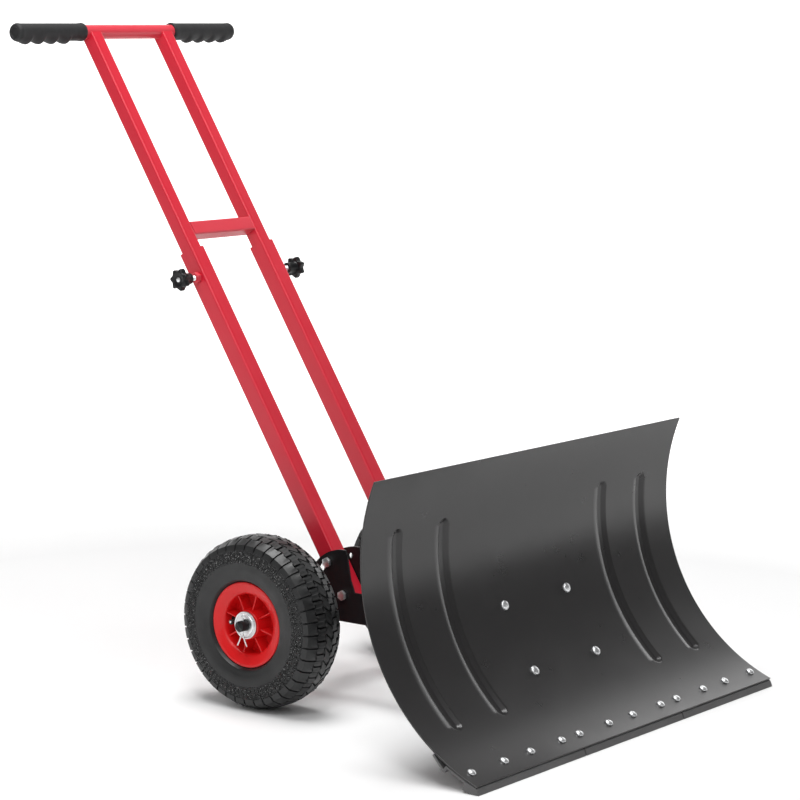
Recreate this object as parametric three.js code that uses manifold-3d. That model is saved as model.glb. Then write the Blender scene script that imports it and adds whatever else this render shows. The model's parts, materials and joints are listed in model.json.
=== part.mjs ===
// Wheeled snow shovel: a curved steel blade on two pneumatic wheels, with a telescopic tilting handle.
// Millimetres, +Z up, +Y toward the person pushing, the blade toward -Y. The origin is on the ground
// under the middle of the bounding box. Sections are drawn about the axle and the whole assembly is
// then moved back by AXLE_Y.
import * as THREE from 'three';
import { mergeVertices } from 'three/addons/utils/BufferGeometryUtils.js';
import Module from 'manifold-3d';

const wasm = await Module();
wasm.setup();

const GAP = 0.3;
const AXLE_Y = 34.05;
const AXLE_Z = 127;

// Blade: a sheet rolled to one radius, with four pressed channels.
const BLADE_WIDTH = 764;
const BLADE_RADIUS = 288.2;
const BLADE_SHEET = 2;
const BLADE_CENTRE_Y = -615;
const BLADE_CENTRE_Z = 283.4;
const BLADE_BOTTOM = -70.3;
const BLADE_TOP = 22.4;
const CHANNEL_X = [-304, -199, 199, 304];
const CHANNEL_HALF = 11.5;
const CHANNEL_DEPTH = 4.5;
const CHANNEL_BOTTOM = -51.5;
const CHANNEL_TOP = 6.8;

// Wear strips: three lengths bolted under the lower edge of the blade. The section is listed in the
// strip's own axes, u up along the blade and v away from it, and is cut off level with the ground.
const STRIP_COUNT = 3;
const STRIP_PITCH = BLADE_WIDTH / STRIP_COUNT;
const STRIP_SPLIT = 0.6;
const STRIP_ANGLE = -63.4;
const STRIP_BOLT_ANGLE = -65.2;
const STRIP_BOLT_OFFSETS = [-105.5, -31, 31, 105.5];
const STRIP_BOLT_HOLE = 3.3;
const STRIP_SECTION = [
  [-44, 8], [-42.6, 10.6], [-17.2, 15.7], [-15.7, 5.8], [15, 5.8], [17, 14], [43, 3.4],
  [41.8, 0.4], [20, 9.3], [18.6, 2.6], [-18.9, 2.4], [-35, 0.9], [-37, 1.6],
];
const STRIP_BOLT = {
  headRadius: 6.2, headHeight: 3.2, shank: 3, nutFrom: 6.3, nutFlats: 10, nutHeight: 4.5, tail: 1.5,
};

// Bolts that hold the blade to the arms. A bolt head stands HEAD_GAP clear of the faceted sheet.
const HEAD_GAP = 0.6;
const BLADE_BOLT_X = 78.2;
const BLADE_BOLT_ANGLES = [-41.7, -21.5];
const PAD_SHEET = 3;
const PAD_BOTTOM = -47;
const PAD_TOP = -16;
const PAD_INNER = 52;
const PAD_OUTER = 110;
const PAD_BACK = BLADE_SHEET + PAD_SHEET + 2 * GAP;
const BLADE_BOLT = {
  headRadius: 7.4, headHeight: 3.6, shank: 4, nutFrom: BLADE_SHEET + PAD_SHEET + 3 * GAP,
  nutFlats: 13, nutHeight: 6.5, tail: 2.5,
};

// Handle frame: square tubes leaning back, the upper pair sliding in the lower pair.
const TUBE_X = 81.4;
const LEAN = 57.66;
const TUBE_FOOT_Y = -175;
const LOWER_SIDE = 28.4;
const LOWER_WALL = 2;
const LOWER_START = 164;
const LOWER_END = 763;
const UPPER_SIDE = 22.8;
const UPPER_WALL = 1.5;
const UPPER_START = 540;
const CROSSBAR_AT = 1147;
const CROSSBAR_RADIUS = 11;
const CROSSBAR_WALL = 2;
const CROSSBAR_HALF = 240;
const BRACE_AT = 796;
const BRACE_SIDE = 22.4;
const KNOB_AT = 717.6;
const KNOB = {
  nutFlats: 15, nutHeight: 8, neckFrom: 114, neckRadius: 8.5, headFrom: 130.5, headTo: 140.5,
  headRadius: 17, lobes: 7, lobeDepth: 2.2, studRadius: 4, studInHead: 5.7,
};
const GRIP_START = 101;
const GRIP_SWELLS = [38, 66, 93.5, 121];
const GRIP_PROFILE = [
  [0, 0], [14.2, 0], [14.6, 1], [14.6, 3], [13, 4.5], [13, 127], [13.6, 131],
  [14.6, 137], [14.2, 142], [12, 144.2], [0, 144.5],
];

// Arms: a plate on each side of each handle tube, a web under it and ears for the tilt. The ears have
// a slot that runs back from the angle bolt, and a round hole ahead of it for the upright setting.
const PLATE = 3;
const PIVOT_AT = 188.4;
const TILT_RADIUS = 53.9;
const TILT_RANGE = 25;
const UPRIGHT_HOLE_TURN = 20;
const ARM_BOLT = {
  shank: 4, flats: 13, headHeight: 5.3, nutHeight: 6.4, washerRadius: 8, washerThick: 1.6, tail: 2,
};
const EAR_RADIUS = 67;
const EAR_BACK = 20;
const EAR_FRONT = 93;
const ARM_END_RADIUS = 22;
const WEB_Z = 119.8;
const WEB_REAR_Y = -44;
const WEB_BEND_Y = -295;
const WEB_END_Y = -367;
const BOLT_HOLE = 4.3;

// Wheels, on bushes that turn on a fixed axle. Places along the axle are counted from a wheel's middle.
const WHEEL_X = 196.5;
const AXLE_RADIUS = 8;
const AXLE_CHAMFER = 1.5;
const AXLE_HALF = WHEEL_X + 50.5;
const PIN_AT = WHEEL_X + 42.5;
const SLEEVE_RADIUS = 12.5;
const BUSH = { radius: 14.3, flange: 17.5, flangeThick: 2.7, from: -45.5, to: 34.1 };
const WASHER = { radius: 20, from: 34.5, to: 36.5 };
const RIB_COUNT = 8;
const RIB_START = 15.3;
const VALVE_X = 12;

const rad = THREE.MathUtils.degToRad;
const X_AXIS = new THREE.Vector3(1, 0, 0);
const Y_AXIS = new THREE.Vector3(0, 1, 0);
const ALONG = new THREE.Vector3(0, Math.cos(rad(LEAN)), Math.sin(rad(LEAN)));
const ACROSS = new THREE.Vector3(0, Math.sin(rad(LEAN)), -Math.cos(rad(LEAN)));

const PAINT = {
  blade: [0x5a5858, 0.5, 0.35],
  strip: [0x2b2b2c, 0.75, 0],
  arm: [0x1b1b1c, 0.45, 0.3],
  red: [0xc21228, 0.35, 0.2],
  grip: [0x2a2a2b, 0.85, 0],
  knob: [0x141415, 0.5, 0],
  zinc: [0xb9bcbe, 0.3, 0.9],
  tyre: [0x232425, 0.9, 0],
  bush: [0xd8d6cf, 0.6, 0],
};

const group = new THREE.Group();
group.name = 'wheeled_snow_shovel';
group.position.y = AXLE_Y;

// ---------------------------------------------------------------- solids

function solid(geometry) {
  const bare = geometry.clone();
  bare.deleteAttribute('normal');
  bare.deleteAttribute('uv');
  const merged = mergeVertices(bare, 1e-4);
  const vertProperties = new Float32Array(merged.attributes.position.array);
  const triVerts = new Uint32Array(merged.index.array);
  const made = new wasm.Manifold(new wasm.Mesh({ numProp: 3, vertProperties, triVerts }));
  if (made.volume() > 0) {
    return made;
  }
  for (let i = 0; i < triVerts.length; i += 3) {
    [triVerts[i + 1], triVerts[i + 2]] = [triVerts[i + 2], triVerts[i + 1]];
  }
  return new wasm.Manifold(new wasm.Mesh({ numProp: 3, vertProperties, triVerts }));
}

function join(...geometries) {
  return geometries.map(solid).reduce((whole, piece) => whole.add(piece));
}

function cut(body, ...geometries) {
  return geometries.map(solid).reduce((whole, piece) => whole.subtract(piece), body);
}

function addMesh(name, body, [color, roughness, metalness]) {
  const made = body.getMesh();
  const geometry = new THREE.BufferGeometry();
  geometry.setAttribute('position', new THREE.BufferAttribute(made.vertProperties, 3));
  geometry.setIndex(new THREE.BufferAttribute(made.triVerts, 1));
  geometry.computeVertexNormals();
  const material = new THREE.MeshStandardMaterial({ color, roughness, metalness });
  const mesh = new THREE.Mesh(geometry, material);
  mesh.name = name;
  group.add(mesh);
  return mesh;
}

// Turns a geometry drawn about +Y so that it runs along the given direction from the given origin.
function aim(geometry, direction, origin) {
  const turn = new THREE.Quaternion().setFromUnitVectors(Y_AXIS, direction.clone().normalize());
  return geometry.applyQuaternion(turn).translate(origin.x, origin.y, origin.z);
}

function revolve(profile, direction, origin, segments) {
  const points = profile.map(([radius, along]) => new THREE.Vector2(radius, along));
  return aim(new THREE.LatheGeometry(points, segments), direction, origin);
}

function rod(radius, from, to, segments = 16) {
  const direction = to.clone().sub(from);
  const length = direction.length();
  const cylinder = new THREE.CylinderGeometry(radius, radius, length, segments);
  return aim(cylinder.translate(0, length / 2, 0), direction, from);
}

function rodX(radius, x0, x1, y, z, segments = 16) {
  return rod(radius, new THREE.Vector3(x0, y, z), new THREE.Vector3(x1, y, z), segments);
}

// A section drawn in Y and Z, pushed from x0 to x1.
function prismX(shape, x0, x1, curveSegments = 12) {
  const geometry = new THREE.ExtrudeGeometry(shape, { depth: x1 - x0, bevelEnabled: false, curveSegments });
  const toX = new THREE.Matrix4().makeBasis(Y_AXIS, new THREE.Vector3(0, 0, 1), X_AXIS);
  return geometry.applyMatrix4(toX).translate(x0, 0, 0);
}

function outline(points) {
  return new THREE.Shape(points.map(([a, b]) => new THREE.Vector2(a, b)));
}

// A point on the handle's centre line, s along it, at the given x.
function onHandle(x, s) {
  return new THREE.Vector3(x, TUBE_FOOT_Y, 0).addScaledVector(ALONG, s);
}

// A square section running along the handle's lean.
function squareBar(side, x, from, to) {
  const box = new THREE.BoxGeometry(side, side, to - from).translate(0, 0, (to - from) / 2);
  const frame = new THREE.Matrix4().makeBasis(X_AXIS, ACROSS, ALONG).setPosition(onHandle(x, from));
  return box.applyMatrix4(frame);
}

function squareTube(side, wall, x, from, to) {
  return cut(solid(squareBar(side, x, from, to)), squareBar(side - 2 * wall, x, from - 1, to + 1));
}

// A point behind the blade's front surface, out along the radius at the given angle.
function onBlade(x, angle, out) {
  const radius = BLADE_RADIUS + out;
  return new THREE.Vector3(
    x,
    BLADE_CENTRE_Y + radius * Math.cos(rad(angle)),
    BLADE_CENTRE_Z + radius * Math.sin(rad(angle)),
  );
}

function bladeNormal(angle) {
  return new THREE.Vector3(0, Math.cos(rad(angle)), Math.sin(rad(angle)));
}

function hexPrism(acrossFlats, height, direction, origin) {
  const nut = new THREE.CylinderGeometry(acrossFlats / Math.sqrt(3), acrossFlats / Math.sqrt(3), height, 6);
  return aim(nut.translate(0, height / 2, 0), direction, origin);
}

// ---------------------------------------------------------------- blade

function channelDepth(x, angle) {
  const toArc = rad(1) * BLADE_RADIUS;
  const low = (CHANNEL_BOTTOM * toArc) + CHANNEL_HALF;
  const high = (CHANNEL_TOP * toArc) - CHANNEL_HALF;
  const arc = angle * toArc;
  const along = Math.max(low - arc, arc - high, 0);
  const near = Math.min(...CHANNEL_X.map((centre) => Math.hypot(x - centre, along)));
  return near < CHANNEL_HALF ? CHANNEL_DEPTH * 0.5 * (1 + Math.cos(Math.PI * near / CHANNEL_HALF)) : 0;
}

function bladeStations() {
  const across = [-BLADE_WIDTH / 2, 0, BLADE_WIDTH / 2];
  for (const centre of CHANNEL_X) {
    across.push(...[-1, -0.35, 0.35, 1].map((t) => centre + t * CHANNEL_HALF));
  }
  across.sort((a, b) => a - b);
  const endStep = CHANNEL_HALF / BLADE_RADIUS / rad(1);
  const up = [];
  const steps = 18;
  for (let i = 0; i <= steps; i += 1) {
    up.push(BLADE_BOTTOM + (BLADE_TOP - BLADE_BOTTOM) * i / steps);
  }
  for (const t of [0, 0.4, 0.8]) {
    up.push(CHANNEL_BOTTOM + t * endStep, CHANNEL_TOP - t * endStep);
  }
  up.sort((a, b) => a - b);
  return { across, up };
}

function sheetSolid({ across, up }, depthAt, inner, thickness) {
  const positions = [];
  const index = [];
  const columns = across.length;
  const layer = columns * up.length;
  for (const back of [0, thickness]) {
    for (const angle of up) {
      for (const x of across) {
        positions.push(...onBlade(x, angle, inner + back + depthAt(x, angle)).toArray());
      }
    }
  }
  const quad = (a, b, c, d) => index.push(a, b, c, a, c, d);
  const at = (side, row, column) => side * layer + row * columns + column;
  for (let row = 0; row < up.length - 1; row += 1) {
    for (let column = 0; column < columns - 1; column += 1) {
      quad(at(0, row, column), at(0, row, column + 1), at(0, row + 1, column + 1), at(0, row + 1, column));
      quad(at(1, row, column), at(1, row + 1, column), at(1, row + 1, column + 1), at(1, row, column + 1));
    }
    const last = columns - 1;
    quad(at(0, row, 0), at(0, row + 1, 0), at(1, row + 1, 0), at(1, row, 0));
    quad(at(0, row, last), at(1, row, last), at(1, row + 1, last), at(0, row + 1, last));
  }
  const top = up.length - 1;
  for (let column = 0; column < columns - 1; column += 1) {
    quad(at(0, 0, column), at(1, 0, column), at(1, 0, column + 1), at(0, 0, column + 1));
    quad(at(0, top, column), at(0, top, column + 1), at(1, top, column + 1), at(1, top, column));
  }
  const geometry = new THREE.BufferGeometry();
  geometry.setAttribute('position', new THREE.Float32BufferAttribute(positions, 3));
  geometry.setIndex(index);
  return solid(geometry);
}

function drill(x, angle, radius) {
  return rod(radius, onBlade(x, angle, -10), onBlade(x, angle, 20), 8);
}

function stripBoltXs() {
  const centres = [-STRIP_PITCH, 0, STRIP_PITCH];
  return centres.flatMap((centre) => STRIP_BOLT_OFFSETS.map((offset) => centre + offset));
}

function addBlade() {
  const plain = sheetSolid(bladeStations(), channelDepth, 0, BLADE_SHEET);
  const stripHoles = stripBoltXs().map((x) => drill(x, STRIP_BOLT_ANGLE, STRIP_BOLT_HOLE));
  const armHoles = [-BLADE_BOLT_X, BLADE_BOLT_X].flatMap(
    (x) => BLADE_BOLT_ANGLES.map((angle) => drill(x, angle, BOLT_HOLE + 0.2)),
  );
  addMesh('blade', cut(plain, ...stripHoles, ...armHoles), PAINT.blade);
}

function stripSection() {
  const tangent = [Math.sin(rad(-STRIP_ANGLE)), Math.cos(rad(STRIP_ANGLE))];
  const normal = [Math.cos(rad(STRIP_ANGLE)), Math.sin(rad(STRIP_ANGLE))];
  const foot = onBlade(0, STRIP_ANGLE, 0);
  return outline(STRIP_SECTION.map(([u, v]) => [
    foot.y + u * tangent[0] + v * normal[0],
    foot.z + u * tangent[1] + v * normal[1],
  ]));
}

function addWearStrips() {
  const section = stripSection();
  const ground = new THREE.BoxGeometry(2 * BLADE_WIDTH, 400, 20).translate(0, -560, -10);
  ['wear_strip_left', 'wear_strip_centre', 'wear_strip_right'].forEach((name, i) => {
    const centre = (i - 1) * STRIP_PITCH;
    const half = (STRIP_PITCH - STRIP_SPLIT) / 2;
    const bar = solid(prismX(section, centre - half, centre + half));
    const boltXs = STRIP_BOLT_OFFSETS.map((offset) => centre + offset);
    const holes = boltXs.map((x) => drill(x, STRIP_BOLT_ANGLE, STRIP_BOLT_HOLE));
    addMesh(name, cut(bar, ground, ...holes), PAINT.strip);
  });
}

// A domed bolt from the front of the blade, with its nut at the back.
function domedBolt(x, angle, size) {
  const { headRadius, headHeight, shank, nutFrom, nutFlats, nutHeight, tail } = size;
  const dome = [0, 50].map((t) => [
    headRadius * Math.cos(rad(t)),
    -HEAD_GAP - 0.4 - headHeight * Math.sin(rad(t)),
  ]);
  const top = [0, -HEAD_GAP - 0.4 - headHeight];
  const head = revolve([[0, -HEAD_GAP], [headRadius, -HEAD_GAP], ...dome, top],
    bladeNormal(angle), onBlade(x, angle, 0), 8);
  const stem = rod(shank, onBlade(x, angle, -1), onBlade(x, angle, nutFrom + nutHeight + tail), 6);
  const nut = hexPrism(nutFlats, nutHeight, bladeNormal(angle), onBlade(x, angle, nutFrom));
  return join(head, stem, nut);
}

function addBladeFasteners() {
  stripBoltXs().forEach((x, i) => {
    const name = `strip_bolt_${String(i + 1).padStart(2, '0')}`;
    addMesh(name, domedBolt(x, STRIP_BOLT_ANGLE, STRIP_BOLT), PAINT.zinc);
  });
  let count = 0;
  for (const x of [-BLADE_BOLT_X, BLADE_BOLT_X]) {
    for (const angle of BLADE_BOLT_ANGLES) {
      count += 1;
      addMesh(`blade_bolt_${count}`, domedBolt(x, angle, BLADE_BOLT), PAINT.zinc);
    }
  }
}

// ---------------------------------------------------------------- arms

const PIVOT = onHandle(0, PIVOT_AT);

function onEar(radius, angle) {
  return [PIVOT.y + radius * Math.cos(rad(angle)), PIVOT.z + radius * Math.sin(rad(angle))];
}

// Side view of one arm plate: round the axle, up over the ear, forward to the blade and back.
function armOutline() {
  const shape = new THREE.Shape();
  shape.absarc(0, AXLE_Z, ARM_END_RADIUS, rad(-105), rad(82), false);
  shape.absarc(PIVOT.y, PIVOT.z, EAR_RADIUS, rad(EAR_BACK), rad(EAR_FRONT), false);
  shape.lineTo(-81, 218);
  shape.lineTo(-87, 183);
  shape.lineTo(-94.5, 165);
  shape.lineTo(-262, 165);
  const padSteps = 6;
  for (let i = 0; i <= padSteps; i += 1) {
    const angle = PAD_TOP - 1 + (PAD_BOTTOM - PAD_TOP + 2) * i / padSteps;
    const point = onBlade(0, angle, PAD_BACK);
    shape.lineTo(point.y, point.z);
  }
  shape.lineTo(WEB_BEND_Y, WEB_Z);
  shape.lineTo(-38, WEB_Z);
  return shape;
}

// The arc slot that the angle bolt slides in.
function tiltSlot(x0, x1) {
  const half = BOLT_HOLE + 0.2;
  const start = LEAN - TILT_RANGE;
  const end = LEAN;
  const shape = new THREE.Shape();
  shape.absarc(PIVOT.y, PIVOT.z, TILT_RADIUS + half, rad(start), rad(end), false);
  shape.absarc(...onEar(TILT_RADIUS, end), half, rad(end), rad(end + 180), false);
  shape.absarc(PIVOT.y, PIVOT.z, TILT_RADIUS - half, rad(end), rad(start), true);
  shape.absarc(...onEar(TILT_RADIUS, start), half, rad(start + 180), rad(start + 360), false);
  const stops = [0, 0.5, 1].map((t) => onEar(TILT_RADIUS, start + t * TILT_RANGE));
  return join(prismX(shape, x0, x1, 5), ...stops.map(([y, z]) => rodX(half + 1, x0, x1, y, z, 10)));
}

function armPlate(x0, x1, extraHoles = []) {
  const plate = solid(prismX(armOutline(), x0, x1, 12));
  const pivotHole = rodX(BOLT_HOLE, x0 - 1, x1 + 1, PIVOT.y, PIVOT.z, 12);
  const axleHole = rodX(AXLE_RADIUS + GAP, x0 - 1, x1 + 1, 0, AXLE_Z, 20);
  return cut(plate, pivotHole, axleHole, ...extraHoles).subtract(tiltSlot(x0 - 1, x1 + 1));
}

// The web under the arm: level below the tube, then down along the plates, short of the blade bolt.
function armWeb(x0, x1) {
  const foot = onBlade(0, PAD_BOTTOM + 1, PAD_BACK);
  const slope = (WEB_Z - foot.z) / (WEB_BEND_Y - foot.y);
  const endZ = WEB_Z + (WEB_END_Y - WEB_BEND_Y) * slope;
  const section = outline([
    [WEB_REAR_Y, WEB_Z], [WEB_REAR_Y, WEB_Z + PLATE], [WEB_BEND_Y - 0.7, WEB_Z + PLATE],
    [WEB_END_Y, endZ + 1.1 * PLATE], [WEB_END_Y, endZ], [WEB_BEND_Y, WEB_Z],
  ]);
  return solid(prismX(section, x0, x1));
}

function bladePad(side) {
  const edges = [side * PAD_INNER, side * PAD_OUTER].sort((a, b) => a - b);
  const up = [];
  for (let i = 0; i <= 8; i += 1) {
    up.push(PAD_BOTTOM + (PAD_TOP - PAD_BOTTOM) * i / 8);
  }
  const pad = sheetSolid({ across: edges, up }, () => 0, BLADE_SHEET + GAP, PAD_SHEET);
  return cut(pad, ...BLADE_BOLT_ANGLES.map((angle) => drill(side * BLADE_BOLT_X, angle, BOLT_HOLE + 0.2)));
}

function addArm(side, suffix) {
  const halfTube = LOWER_SIDE / 2 + GAP;
  const span = (a, b) => [side * a, side * b].sort((p, q) => p - q);
  const outer = span(TUBE_X + halfTube, TUBE_X + halfTube + PLATE);
  const inner = span(TUBE_X - halfTube - PLATE, TUBE_X - halfTube);
  const web = span(TUBE_X - halfTube + GAP, TUBE_X + halfTube - GAP);
  addMesh(`arm_outer_plate_${suffix}`, armPlate(...outer), PAINT.arm);
  const [y, z] = onEar(TILT_RADIUS, LEAN + UPRIGHT_HOLE_TURN);
  const uprightHole = rodX(BOLT_HOLE, inner[0] - 1, inner[1] + 1, y, z, 12);
  addMesh(`arm_inner_plate_${suffix}`, armPlate(...inner, [uprightHole]), PAINT.arm);
  addMesh(`arm_web_${suffix}`, armWeb(...web), PAINT.arm);
  addMesh(`blade_pad_${suffix}`, bladePad(side), PAINT.arm);
}

// A hexagon bolt across one arm, head outside, and a nut on a washer inside.
function crossBolt(side, y, z) {
  const halfTube = LOWER_SIDE / 2 + GAP;
  const outerFace = TUBE_X + halfTube + PLATE + GAP;
  const innerFace = TUBE_X - halfTube - PLATE - GAP;
  const at = (x) => new THREE.Vector3(side * x, y, z);
  const out = X_AXIS.clone().multiplyScalar(side);
  const { shank, flats, headHeight, nutHeight, washerRadius, washerThick, tail } = ARM_BOLT;
  return join(
    rod(shank, at(innerFace - washerThick - nutHeight - tail), at(outerFace + headHeight / 2), 10),
    hexPrism(flats, headHeight, out, at(outerFace)),
    rod(washerRadius, at(innerFace - washerThick), at(innerFace), 16),
    hexPrism(flats, nutHeight + washerThick / 2, out, at(innerFace - washerThick - nutHeight)),
  );
}

function addArmBolts(side, suffix) {
  addMesh(`pivot_bolt_${suffix}`, crossBolt(side, PIVOT.y, PIVOT.z), PAINT.zinc);
  const angle = onHandle(0, PIVOT_AT + TILT_RADIUS);
  addMesh(`angle_bolt_${suffix}`, crossBolt(side, angle.y, angle.z), PAINT.zinc);
}

// ---------------------------------------------------------------- handle

function addLowerTube(side, suffix) {
  const tube = squareTube(LOWER_SIDE, LOWER_WALL, side * TUBE_X, LOWER_START, LOWER_END);
  const knob = onHandle(side * (TUBE_X + LOWER_SIDE / 2 - 0.2), KNOB_AT);
  const out = X_AXIS.clone().multiplyScalar(side);
  const nut = solid(hexPrism(KNOB.nutFlats, KNOB.nutHeight + 0.2, out, knob));
  const bores = [PIVOT_AT, PIVOT_AT + TILT_RADIUS].map((s) => {
    const point = onHandle(0, s);
    return rodX(BOLT_HOLE, side * TUBE_X - 20, side * TUBE_X + 20, point.y, point.z, 12);
  });
  const { y, z } = onHandle(0, KNOB_AT);
  const studBore = rodX(BOLT_HOLE, side * TUBE_X, side * (TUBE_X + 40), y, z, 12);
  addMesh(`lower_tube_${suffix}`, cut(tube.add(nut), ...bores, studBore), PAINT.red);
}

function addUpperTube(side, suffix) {
  const tube = squareTube(UPPER_SIDE, UPPER_WALL, side * TUBE_X, UPPER_START, CROSSBAR_AT);
  const bar = onHandle(0, CROSSBAR_AT);
  const cope = rodX(CROSSBAR_RADIUS + GAP, side * TUBE_X - 20, side * TUBE_X + 20, bar.y, bar.z, 32);
  addMesh(`upper_tube_${suffix}`, largest(cut(tube, cope)), PAINT.red);
}

// The piece that matters when a cut leaves slivers behind.
function largest(body) {
  return body.decompose().reduce((best, piece) => (piece.volume() > best.volume() ? piece : best));
}

function addCrossbar() {
  const { y, z } = onHandle(0, CROSSBAR_AT);
  const bar = solid(rodX(CROSSBAR_RADIUS, -CROSSBAR_HALF, CROSSBAR_HALF, y, z, 32));
  const bore = rodX(CROSSBAR_RADIUS - CROSSBAR_WALL, -CROSSBAR_HALF - 1, CROSSBAR_HALF + 1, y, z, 24);
  addMesh('crossbar', cut(bar, bore), PAINT.red);
}

function addBrace() {
  const half = TUBE_X - UPPER_SIDE / 2 - GAP;
  const place = new THREE.Matrix4().makeBasis(X_AXIS, ACROSS, ALONG).setPosition(onHandle(0, BRACE_AT));
  const outer = new THREE.BoxGeometry(2 * half, BRACE_SIDE, BRACE_SIDE).applyMatrix4(place);
  const inside = BRACE_SIDE - 2 * UPPER_WALL;
  const hollow = new THREE.BoxGeometry(2 * half + 2, inside, inside).applyMatrix4(place);
  addMesh('brace', cut(solid(outer), hollow), PAINT.red);
}

// Rubber grip: a sleeve with a closed rounded end and four finger swells underneath.
function addGrip(side, suffix) {
  const start = onHandle(side * GRIP_START, CROSSBAR_AT);
  const out = X_AXIS.clone().multiplyScalar(side);
  const sleeve = revolve(GRIP_PROFILE, out, start, 16);
  const swells = GRIP_SWELLS.map((along) => {
    const swell = new THREE.SphereGeometry(1, 10, 6).scale(13.5, 9, 11);
    return swell.translate(start.x + side * along, start.y - 1.2, start.z - 7);
  });
  const bore = rod(CROSSBAR_RADIUS + GAP, start.clone().addScaledVector(out, -1),
    start.clone().addScaledVector(out, CROSSBAR_HALF - GRIP_START + GAP), 20);
  addMesh(`grip_${suffix}`, cut(join(sleeve, ...swells), bore), PAINT.grip);
}

// Star knob: seven lobes on a round neck.
function starOutline() {
  const points = [];
  const steps = 28;
  for (let i = 0; i < steps; i += 1) {
    const turn = 2 * Math.PI * i / steps;
    const radius = KNOB.headRadius - KNOB.lobeDepth * (0.5 - 0.5 * Math.cos(KNOB.lobes * turn));
    points.push([radius * Math.cos(turn), radius * Math.sin(turn)]);
  }
  return outline(points);
}

function addKnob(side, suffix) {
  const { y, z } = onHandle(0, KNOB_AT);
  const [x0, x1] = [side * KNOB.headFrom, side * KNOB.headTo].sort((a, b) => a - b);
  const head = prismX(starOutline(), x0, x1).translate(0, y, z);
  const neck = rodX(KNOB.neckRadius, side * KNOB.neckFrom, side * (KNOB.headFrom + 1), y, z, 20);
  const studEnd = KNOB.headFrom + KNOB.studInHead;
  const bore = rodX(BOLT_HOLE, side * (KNOB.neckFrom - 1), side * (studEnd + GAP), y, z);
  addMesh(`knob_${suffix}`, cut(join(head, neck), bore), PAINT.knob);
  const tip = side * (TUBE_X + UPPER_SIDE / 2 + GAP);
  addMesh(`knob_stud_${suffix}`, solid(rodX(KNOB.studRadius, tip, side * studEnd, y, z)), PAINT.zinc);
}

// ---------------------------------------------------------------- axle and wheels

function addAxle() {
  const tip = AXLE_RADIUS - AXLE_CHAMFER;
  const axle = solid(revolve([
    [0, 0], [tip, 0], [AXLE_RADIUS, AXLE_CHAMFER], [AXLE_RADIUS, 2 * AXLE_HALF - AXLE_CHAMFER],
    [tip, 2 * AXLE_HALF], [0, 2 * AXLE_HALF],
  ], X_AXIS, new THREE.Vector3(-AXLE_HALF, 0, AXLE_Z), 20));
  const pinHoles = [-PIN_AT, PIN_AT].map(
    (x) => rod(2, new THREE.Vector3(x, 0, AXLE_Z - 15), new THREE.Vector3(x, 0, AXLE_Z + 15), 8),
  );
  addMesh('axle_rod', cut(axle, ...pinHoles), PAINT.arm);
  const armInside = TUBE_X - LOWER_SIDE / 2 - PLATE - 2 * GAP;
  addMesh('axle_spacer_tube', sleeve(-armInside, armInside), PAINT.arm);
}

// A tube that slides over the axle and keeps two pieces apart.
function sleeve(x0, x1) {
  const bore = rodX(AXLE_RADIUS + GAP, Math.min(x0, x1) - 1, Math.max(x0, x1) + 1, 0, AXLE_Z, 20);
  return cut(solid(rodX(SLEEVE_RADIUS, x0, x1, 0, AXLE_Z, 20)), bore);
}

function addWheelSpacer(side, suffix) {
  const armOutside = TUBE_X + LOWER_SIDE / 2 + PLATE + 2 * GAP;
  const hubInside = WHEEL_X + BUSH.from - GAP;
  addMesh(`wheel_spacer_${suffix}`, sleeve(side * armOutside, side * hubInside), PAINT.arm);
}

const TYRE_OUTSIDE = [
  [52.4, 30.6], [62.9, 32.2], [70, 38], [92, 42], [108, 39.6], [120.5, 32], [125.6, 16],
];
const TYRE_INSIDE = [
  [120, 14], [112, 29], [92, 36.6], [68, 31], [52.4, 25.5],
];
const RIM_OUTSIDE = [
  [52, 31], [62.5, 32.6], [62.5, 34.5], [59.5, 34.5], [47, 26], [43, 8], [24, 6], [21, 32.8], [14.6, 32.8],
];

// The other half of a section, given as radius and distance from the wheel's middle.
function mirrored(half) {
  return half.slice().reverse().map(([radius, along]) => [radius, -along]);
}

function wheelSolid(profile, side, segments) {
  const out = X_AXIS.clone().multiplyScalar(side);
  const loop = [...profile, profile[0]];
  return solid(revolve(loop, out, new THREE.Vector3(side * WHEEL_X, 0, AXLE_Z), segments));
}

function addTyre(side, suffix) {
  const outside = [...TYRE_OUTSIDE, [AXLE_Z, 0], ...mirrored(TYRE_OUTSIDE)];
  const shell = [...outside, ...mirrored(TYRE_INSIDE), ...TYRE_INSIDE];
  addMesh(`tyre_${suffix}`, wheelSolid(shell, side, 28), PAINT.tyre);
}

// Inner tube with its valve stem, whose bore opens into the tube.
function addInnerTube(side, suffix) {
  const ring = (wide, tall) => {
    const points = [];
    for (let i = 0; i < 6; i += 1) {
      const turn = 2 * Math.PI * i / 6;
      points.push([87 + tall * Math.cos(turn), wide * Math.sin(turn)]);
    }
    return wheelSolid(points, side, 20);
  };
  const bore = rod(1.2, wheelPoint(side, VALVE_X, 46), wheelPoint(side, VALVE_X, 72), 8);
  const mouth = rod(1.2, wheelPoint(side, VALVE_X, 46.6), wheelPoint(side, VALVE_X - 6, 46.6), 8);
  const whole = ring(24, 27).add(valveStem(side)).subtract(ring(22, 25));
  addMesh(`inner_tube_${suffix}`, cut(whole, bore, mouth), PAINT.tyre);
}

// A point on the wheel, out from its middle plane and out from the axle toward the rear.
function wheelPoint(side, along, radius) {
  return new THREE.Vector3(side * (WHEEL_X + along), radius, AXLE_Z);
}

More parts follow.
